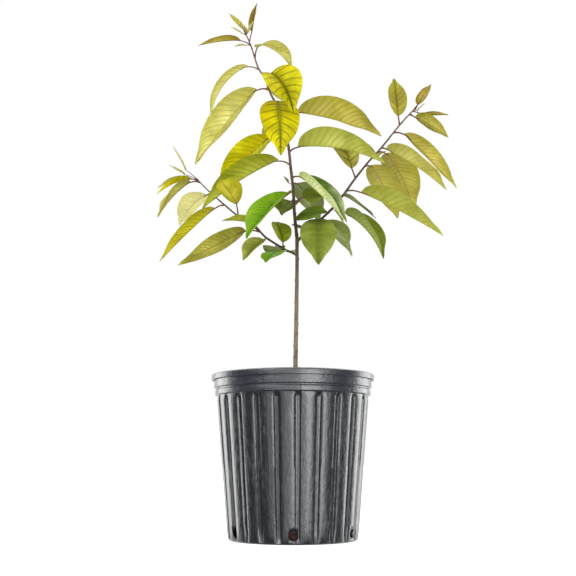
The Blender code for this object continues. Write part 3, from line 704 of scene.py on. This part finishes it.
# Each tint: the upper side and the underside, the shade that runs along the veins as a soft band
# and how strong it is, the flush towards the margins on the upper side, which on the underside
# is laid near the midrib as painted light, and the midrib.
Tint = namedtuple("Tint", "upper under shade band blush rib")
TINTS = {
    "yellow": Tint(
        paint(220, 210, 0), paint(240, 231, 4), paint(104, 104, 0), 0.70,
        paint(226, 190, 0), paint(86, 78, 6)
    ),
    "yellow_olive": Tint(
        paint(184, 176, 16), paint(194, 188, 28), paint(108, 102, 2), 0.55,
        paint(212, 202, 70), paint(96, 68, 28)
    ),
    "straw": Tint(
        paint(180, 170, 50), paint(200, 194, 86), paint(132, 126, 38), 0.5,
        paint(226, 220, 150), paint(128, 112, 50)
    ),
    "sage": Tint(
        paint(148, 154, 68), paint(177, 180, 80), paint(108, 114, 32), 0.5,
        paint(204, 200, 112), paint(112, 112, 44)
    ),
    "gold_olive": Tint(
        paint(174, 166, 60), paint(196, 187, 80), paint(112, 106, 24), 0.55,
        paint(204, 186, 104), paint(96, 80, 30)
    ),
    # Its upper side is painted lighter than its underside, as painted light on a leaf that sits in shade.
    "olive": Tint(
        paint(212, 204, 92), paint(178, 172, 64), paint(104, 100, 20), 0.55,
        paint(192, 182, 96), paint(90, 78, 30)
    ),
    "olive_green": Tint(
        paint(146, 158, 36), paint(160, 166, 32), paint(92, 102, 8), 0.55,
        paint(180, 182, 76), paint(84, 88, 20)
    ),
    "mid_green": Tint(
        paint(111, 125, 32), paint(142, 154, 68), paint(66, 82, 14), 0.45,
        paint(156, 168, 80), paint(142, 156, 74)
    ),
    "deep_green": Tint(
        paint(84, 108, 0), paint(96, 110, 16), paint(44, 60, 0), 0.5,
        paint(120, 138, 50), paint(120, 140, 56)
    ),
    "fresh_green": Tint(
        paint(116, 166, 0), paint(144, 176, 24), paint(62, 104, 0), 0.5,
        paint(160, 190, 60), paint(160, 194, 80)
    ),
    "grey_green": Tint(
        paint(98, 112, 48), paint(137, 149, 84), paint(72, 86, 36), 0.5,
        paint(180, 190, 132), paint(150, 160, 110)
    ),
    "cream": Tint(
        paint(80, 112, 0), paint(234, 240, 186), paint(48, 76, 0), 0.45,
        paint(238, 240, 194), paint(186, 200, 120)
    ),
    "pale_straw": Tint(
        paint(180, 176, 60), paint(214, 209, 134), paint(150, 146, 48), 0.35,
        paint(230, 224, 164), paint(150, 140, 70)
    ),
    "bronze": Tint(
        paint(146, 124, 28), paint(158, 140, 50), paint(92, 70, 10), 0.6,
        paint(196, 180, 92), paint(84, 58, 22)
    ),
    "downy": Tint(
        paint(180, 176, 102), paint(190, 187, 122), paint(146, 138, 72), 0.4,
        paint(216, 213, 164), paint(146, 132, 76)
    ),
}
YOUNG_TINTS = ("bronze", "downy")
BLADE_WIDEST = 0.40           # where it is widest, as a share of its length
BLADE_ROUND = 0.62
TIP_DRAWN = 0.24              # how much the blade narrows before its drawn out tip
TIP_START = 0.88
TIP_RUN = 0.10
TIP_HALF_WIDTH = 0.12 * MM
BLADE_THICK = 0.32 * MM
WIDE_LEAF = 46                # the width in millimetres at which veins and waves are full size
SMALL_LEAF = 16               # below this width a blade has fewer columns and rows
SMALL_GRID = (12, 20)
COLUMN_CROWDING = 1.3         # how the columns crowd towards the midrib
STALK_RADII = (1.02 * MM, 0.78 * MM, 0.7 * MM, 0.58 * MM)
STALK_ENDS = (0.04, 0.12)     # where it runs on under the blade, as shares of the blade
STALK_SAG = 0.04              # for its length
STALK_SEAT = 0.3 * MM         # how far its middle lies under the blade
SLIM_STALKS = ((10, 0.55), (20, 0.8))     # up to a leaf's width, and how much slimmer
STALK_SIDES = 10
STALK_RINGS = 18
SPINE_STEPS = 96
SIDE_VEINS = 8
FINE_VEINS = 2                # fine veins for each side vein
VEIN_LIFT = 0.80              # how far a side vein climbs towards the tip
VEIN_DEPTH = 0.75 * MM        # how deep the side veins sink in the widest leaves
FULL_GRID = (24, 6 * SIDE_VEINS)
MARGIN_WAVE = 0.9 * MM
RIB_SINK = 0.35 * MM          # how deep the blade dips along its midrib
RIB_REACH = 0.7 * MM          # how far from the midrib it dips
RIB_ENDS = (0.03, 0.97)
RIB_RADIUS = 0.35 * MM        # of the midrib at its foot, in the narrowest leaves
RIB_GROWTH = 0.4 * MM         # and how much more it is in the widest
RIB_SEAT = 0.2 * MM
RIB_POINTS = 12
RIB_SIDES = 6
RIB_RINGS = 30
ENDED_STEMS = ("leader_foliage", "right_outer_foliage", "left_outer_foliage")
STEM_LOOK = 0.03              # how far off a stem's direction is read, as a share of its path
BUD = 2.2 * MM
END_BUD = 4.5 * MM
BUD_GIRTH = 0.26              # a bud's radius for its length
BUD_FOOT = 0.7                # how far out it starts, for the stem's mean radius
BUD_SIDES = 8
BUD_RINGS = 6
SOFT_FOLD = math.radians(60)  # up to which a fold is shaded smooth


def heading(bearing, rise):
    """A unit vector from a bearing, turned from +X towards +Y, and a rise, both in degrees."""
    across, up = math.radians(bearing), math.radians(rise)
    return Vector((math.cos(up) * math.cos(across), math.cos(up) * math.sin(across), math.sin(up)))


def blade_width(share):
    """A persimmon leaf's width from base to tip: round below, then a drawn out tip."""
    fall = BLADE_ROUND * (1 - BLADE_WIDEST) / BLADE_WIDEST
    peak = BLADE_WIDEST ** BLADE_ROUND * (1 - BLADE_WIDEST) ** fall
    drawn = 1 - TIP_DRAWN * math.exp(-(((share - TIP_START) / TIP_RUN) ** 2))
    return share ** BLADE_ROUND * (1 - share) ** fall / peak * drawn


def blade_spine(leaf, base):
    """The midrib's points from base to tip, each with its across and above vectors."""
    spine = []
    point = base.copy()
    level = Vector((0, 0, 1)).cross(heading(leaf.bearing, 0))
    roll = math.radians(leaf.roll)
    for step in range(SPINE_STEPS + 1):
        along = heading(leaf.bearing, leaf.rise + leaf.droop * (0.5 - step / SPINE_STEPS))
        across = math.cos(roll) * level + math.sin(roll) * along.cross(level)
        spine.append((point.copy(), across, along.cross(across)))
        middle = leaf.rise + leaf.droop * (0.5 - (step + 0.5) / SPINE_STEPS)
        point += heading(leaf.bearing, middle) * leaf.blade * MM / SPINE_STEPS
    return spine


def spine_at(spine, share):
    """The midrib's point and vectors at a share of the blade's length."""
    place = min(max(share, 0), 1) * SPINE_STEPS
    step = min(int(place), SPINE_STEPS - 1)
    return [a.lerp(b, place - step) for a, b in zip(spine[step], spine[step + 1])]


def blade_surface(leaf, spine, across, along):
    """A point of the upper side: across runs from -1 to 1, and along from base to tip."""
    out = abs(across)
    share = along + VEIN_LIFT * along * (1 - along) * out ** 1.15
    point, side, above = spine_at(spine, share)
    half = max(blade_width(share) * leaf.width * MM / 2, TIP_HALF_WIDTH) * out
    size = leaf.width / WIDE_LEAF
    fold = math.radians(leaf.fold * (1.12 - 0.24 * out))
    veins = abs(math.sin(math.pi * along * SIDE_VEINS)) ** 0.8 * out ** 0.6 * (1 - out) * 1.6
    pleat = VEIN_DEPTH * size * veins * smooth(along, 0.0, 0.12) * (1 - smooth(along, 0.85, 1))
    start = leaf.bearing * 0.37 + leaf.blade * 0.11     # so that no two leaves wave alike
    wave = math.sin(2 * math.pi * (1.9 * along + start) + (1 if across > 0 else 2.4))
    waved = smooth(along, 0.02, 0.2) * (1 - smooth(along, 0.8, 1))
    lift = pleat + MARGIN_WAVE * size * wave * out ** 2.2 * waved
    lift -= RIB_SINK * size * math.exp(-((half / RIB_REACH) ** 2))
    left = -1 if across > 0 else 1
    outward = left * math.cos(fold) * side + math.sin(fold) * above
    upward = math.cos(fold) * above - left * math.sin(fold) * side
    return point + outward * half + upward * lift


def add_blade(mesh, maps, leaf, spine, slots):
    """One blade: a grid whose rows follow the side veins, then given its thickness.

    The underside is set off along the normals by one even step, so that it stays true at a sharp tip.
    """
    first = len(mesh.verts)
    old_faces = len(mesh.faces)
    columns, rows = SMALL_GRID if leaf.width < SMALL_LEAF else FULL_GRID
    bmesh.ops.create_grid(mesh, x_segments=columns, y_segments=rows, size=0.5)
    mesh.faces.ensure_lookup_table()
    mesh.verts.ensure_lookup_table()
    grid = mesh.faces[old_faces:]
    for face in grid:
        face.material_index = slots[0]
        for loop in face.loops:
            loop[maps[0]].uv = (loop.vert.co.x + 0.5, loop.vert.co.y + 0.5)
            loop[maps[1]].uv = (leaf.blade / 100, leaf.width / 50)
    for corner in mesh.verts[first:]:
        across = 2 * corner.co.x
        across = math.copysign(abs(across) ** COLUMN_CROWDING, across)
        corner.co = blade_surface(leaf, spine, across, corner.co.y + 0.5)
    for face in grid:
        face.normal_update()
    shell = bmesh.ops.solidify(mesh, geom=grid, thickness=0)["geom"]
    for corner in [item for item in shell if isinstance(item, bmesh.types.BMVert)]:
        corner.co += corner.normal * BLADE_THICK
    mesh.faces.ensure_lookup_table()
    for face in mesh.faces[old_faces + len(grid):]:
        face.material_index = slots[1]


def add_midrib(mesh, leaf, spine, slot):
    """The midrib, which stands out under the blade and thins out to its tip."""
    path = []
    for step in range(RIB_POINTS + 1):
        share = RIB_ENDS[0] + (RIB_ENDS[1] - RIB_ENDS[0]) * step / RIB_POINTS
        point, _, above = spine_at(spine, share)
        path.append(point - above * (BLADE_THICK + RIB_SEAT))
    foot = RIB_RADIUS + RIB_GROWTH * min(leaf.width / WIDE_LEAF, 1)
    add_tube(mesh, path, lambda share, angle: foot * (1 - 0.8 * share), RIB_SIDES, RIB_RINGS, slot)


def add_stalk(mesh, leaf, root, base, spine):
    """The leaf stalk, swollen where it leaves the stem, sunk into the blade's base."""
    line = [root, root.lerp(base, 0.5) + Vector((0, 0, STALK_SAG * leaf.stalk * MM))]
    for share in STALK_ENDS:
        point, _, above = spine_at(spine, share)
        line.append(point - above * (BLADE_THICK + STALK_SEAT))
    path = smooth_path([place / MM for place in line])
    slim = next((share for width, share in SLIM_STALKS if leaf.width < width), 1.0)

    def radius_at(share, angle):
        place = share * (len(STALK_RADII) - 1)
        step = min(int(place), len(STALK_RADII) - 2)
        return slim * (STALK_RADII[step] + (STALK_RADII[step + 1] - STALK_RADII[step]) * (place - step))
    add_tube(mesh, path, radius_at, STALK_SIDES, STALK_RINGS)


def leaf_finish(name, colour, tint, underside, young):
    """A leaf's skin: mottled and veined along its UV map, waxy above and felted below."""
    skin = Finish(name, {
        "Specular IOR Level": 0.1 if underside else 0.14, "Subsurface Weight": 0.25,
        "Subsurface Scale": 0.6 * MM, "Subsurface Radius": (0.8, 1.0, 0.1),
    })
    uv = skin.node("ShaderNodeUVMap", {"uv_map": "blade"}, {})
    across, along = uv.part("x"), uv.part("y")
    out = abs(across * 2 - 1)
    wobble = skin.cloud(skin.place(), 80, 2) * 0.14
    ladder = abs((along * SIDE_VEINS + wobble).math("FRACT") * 2 - 1)
    rungs = abs((along * SIDE_VEINS * FINE_VEINS + wobble * 2).math("FRACT") * 2 - 1)
    side_line = ladder.clear(0.82, 1.0) * (1 - out * 0.6)
    side_band = ladder.clear(0.15, 1.0) * (1 - out * 0.7)
    rib_line = 1 - out.clear(0.015, 0.06)
    rib_band = 1 - out.clear(0.03, 0.45)
    length = skin.node("ShaderNodeUVMap", {"uv_map": "leaf"}, {}).part("x")
    open_veins = 1 - ((along - 0.5) * out).clear(0.10, 0.26)
    fine_line = rungs.clear(0.35, 1.0) * length.clear(0.55, 0.85) * open_veins
    side_line = side_line * open_veins
    mottle = skin.cloud(skin.place(), 48, 2, 0.5).clear(0.34, 0.68)
    warm = skin.cloud(skin.place((1, 1, 0.7)), 26, 3).clear(0.38, 0.62)
    shade = tint.shade
    if underside:
        lights = zip(colour, tint.shade, tint.upper)
        shade = tuple(own * dark / max(upper, 0.001) for own, dark, upper in lights)
    # Darker towards the base and the tip; the underside's longer darker base is painted shade.
    tip = along.clear(0.66, 1.0) * (0.4 if underside else 1.0)
    ends = tip.math("MAXIMUM", 1 - along.clear(0.0, 0.42 if underside else 0.18))
    margin = out.clear(0.25, 1.0)
    # Above, the flush falls on the margins; below, it is painted light near the midrib.
    blush_and_painted_light_share = (1 - margin) * 0.7 if underside else margin * 0.6
    ground = skin.blend(warm * blush_and_painted_light_share, colour, tint.blush)
    ground = skin.blend((mottle * 0.5).math("MAXIMUM", ends * 0.55), ground, shade)
    # Painted shade towards the underside's margins.
    if underside:
        ground = skin.blend(margin * 0.25, ground, shade)
    bands = (side_band * 0.8).math("MAXIMUM", rib_band) * (0.18 if underside else 1.15)
    ground = skin.blend(bands * tint.band, ground, shade)
    ground = skin.blend(fine_line * 0.35, ground, shade)
    rib = tuple((c + r) / 2 for c, r in zip(colour, tint.rib)) if underside else tint.rib
    ground = skin.blend((side_line * 0.5).math("MAXIMUM", rib_line * 0.9), ground, rib)
    skin.feed("Base Color", ground)
    skin.feed("Roughness", (0.60 if underside else 0.42) + mottle * 0.12)
    raised = side_line * 0.8 + rib_line + fine_line * 0.7
    skin.relief(raised if underside else 1 - raised, (0.08 if young else 0.28) * MM, 0.9)
    return skin.material


def add_bud(mesh, root, direction, length):
    """A pointed bud, fattest near its foot."""
    path = [root, root + direction * length / 2, root + direction * length]

    def radius_at(share, angle):
        return length * BUD_GIRTH * min(0.55 + 2 * share, 1) * (1 - share ** 2) ** 0.7 + 0.05 * MM
    add_tube(mesh, path, radius_at, BUD_SIDES, BUD_RINGS)


stalk_bark = Finish("stalk_skin", {"Roughness": 0.6})
hairs = stalk_bark.cloud(stalk_bark.place((1, 1, 0.4)), 1400, 3)
hairy = stalk_bark.blend(hairs.clear(0.35, 0.7), paint(80, 46, 34), paint(122, 82, 56))
stalk_bark.feed("Base Color", hairy)
stalk_bark.relief(hairs, 0.2 * MM)
stalk_skin = stalk_bark.material

leaf_skins = {}
for name, tint in TINTS.items():
    young = name in YOUNG_TINTS
    leaf_skins[name] = (
        leaf_finish(name + "_upper", tint.upper, tint, False, young),
        leaf_finish(name + "_under", tint.under, tint, True, young),
    )


def grow_foliage(name):
    """One mass: the leaves as one piece, and their stem and stalks as another."""
    limb = STEMS[name]
    path = smooth_path(limb.places)
    twigs = bmesh.new()
    grow_limb(twigs, limb)
    blades = bmesh.new()
    maps = [blades.loops.layers.uv.new(title) for title in ("blade", "leaf")]
    tints = sorted({leaf.tint for leaf in LEAVES[name]})
    for leaf in LEAVES[name]:
        root = place_on(path, leaf.at)
        base = root + heading(leaf.bearing, leaf.lift) * leaf.stalk * MM
        spine = blade_spine(leaf, base)
        slot = 2 * tints.index(leaf.tint)
        old = len(twigs.faces)
        add_stalk(twigs, leaf, root, base, spine)
        onward = place_on(path, min(leaf.at + STEM_LOOK, 1)) - place_on(path, max(leaf.at - STEM_LOOK, 0))
        lean = (onward.normalized() + heading(leaf.bearing, leaf.lift)).normalized()
        add_bud(twigs, root + lean * (limb.foot + limb.tip) / 2 * MM * BUD_FOOT, lean, BUD)
        twigs.faces.ensure_lookup_table()
        for face in twigs.faces[old:]:
            face.material_index = 1
        add_blade(blades, maps, leaf, spine, (slot, slot + 1))
        add_midrib(blades, leaf, spine, slot + 1)
    if name in ENDED_STEMS:
        ahead = (path[-1] - path[-2]).normalized()
        add_bud(twigs, path[-1] - ahead * END_BUD / 4, ahead, END_BUD)
        twigs.faces.ensure_lookup_table()
    skins = [skin for tint in tints for skin in leaf_skins[tint]]
    leaves = finished_piece(name + "_leaves", blades, skins, SOFT_FOLD)
    wood = finished_piece(name + "_twigs", twigs, [young_bark, stalk_skin], SOFT_FOLD)
    return leaves, wood


for name in STEMS:
    for piece in grow_foliage(name):
        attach(piece, "root")
        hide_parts(name)
        name + "_leaf"

# The studio
# A white floor that runs out of sight under a sky that is bright behind and overhead and dim in
# front, with soft panels set in it round the plant, and the camera.

FLOOR_RADIUS = 40
CAMERA_PLACE = (-5 * MM, -973 * MM, 76 * MM)
CAMERA_PITCH = math.radians(10.5)
CAMERA_LENS = 58.875
FRONT_LIGHT = 0.08
BACK_LIGHT = 0.78
TOP_LIGHT = 0.37

# The panels: the way to each, where its edge and its core are as cosines from it, and its light.
# One is broad and in front, one narrow at the right, one high on the left, and two behind.
Panel = namedtuple("Panel", "way edge core light")
PANELS = (
    Panel((0.155, -0.98, 0.12), 0.60, 0.76, 0.84),
    Panel((0.43, -0.90, 0.0), 0.95, 0.985, 4.0),
    Panel((-0.53, -0.62, 0.58), 0.94, 0.99, 4.4),
    Panel((0.84, 0.54, 0.05), 0.93, 0.98, 2.3),
    Panel((-0.84, 0.54, 0.05), 0.93, 0.98, 2.3),
)


class Sky(Finish):
    """The light from all round, mixed with the same nodes as a finish."""

    def __init__(self, name):
        self.world = bpy.data.worlds.new(name)
        self.world.use_nodes = True
        self.tree = self.world.node_tree
        self.shader = self.tree.nodes["Background"]
        self.shader.inputs["Color"].default_value = (1, 1, 1, 1)


sweep = bmesh.new()
bmesh.ops.create_circle(sweep, cap_ends=True, segments=64, radius=FLOOR_RADIUS)
paper = Finish("studio_paper", {
    "Roughness": 0.9, "Emission Color": (1, 1, 1, 1), "Emission Strength": 0.64,
})
paper.material.cycles.emission_sampling = "NONE"
fibre = paper.cloud(paper.place(), 300, 2)
paper.feed("Base Color", paper.blend(fibre * 0.2, paint(250, 250, 250), paint(246, 246, 247)))
floor = finished_piece("studio_floor", sweep, [paper.material])
floor.visible_glossy = False
floor.visible_shadow = False

sky = Sky("white_sky")
way = sky.node("ShaderNodeTexCoord", {}, {}, "Generated")
seen = sky.node("ShaderNodeLightPath", {}, {}, "Is Camera Ray")
light = FRONT_LIGHT + way.part("y").clear(0.1, 0.5) * BACK_LIGHT
light = light + way.part("z").clear(0.3, 0.9) * TOP_LIGHT
for panel in PANELS:
    settings = {"operation": "DOT_PRODUCT"}
    towards = sky.node("ShaderNodeVectorMath", settings, {0: way, 1: panel.way}, "Value")
    light = light + towards.clear(panel.edge, panel.core) * panel.light
sky.feed("Strength", light * (1 - seen) + seen)
bpy.context.scene.world = sky.world

camera_data = bpy.data.cameras.new("camera")
camera_data.lens = CAMERA_LENS
camera = bpy.data.objects.new("camera", camera_data)
camera.location = CAMERA_PLACE
camera.rotation_euler = (math.pi / 2 + CAMERA_PITCH, 0, 0)
bpy.context.scene.collection.objects.link(camera)
bpy.context.scene.camera = camera
bpy.context.scene.view_settings.view_transform = "Standard"
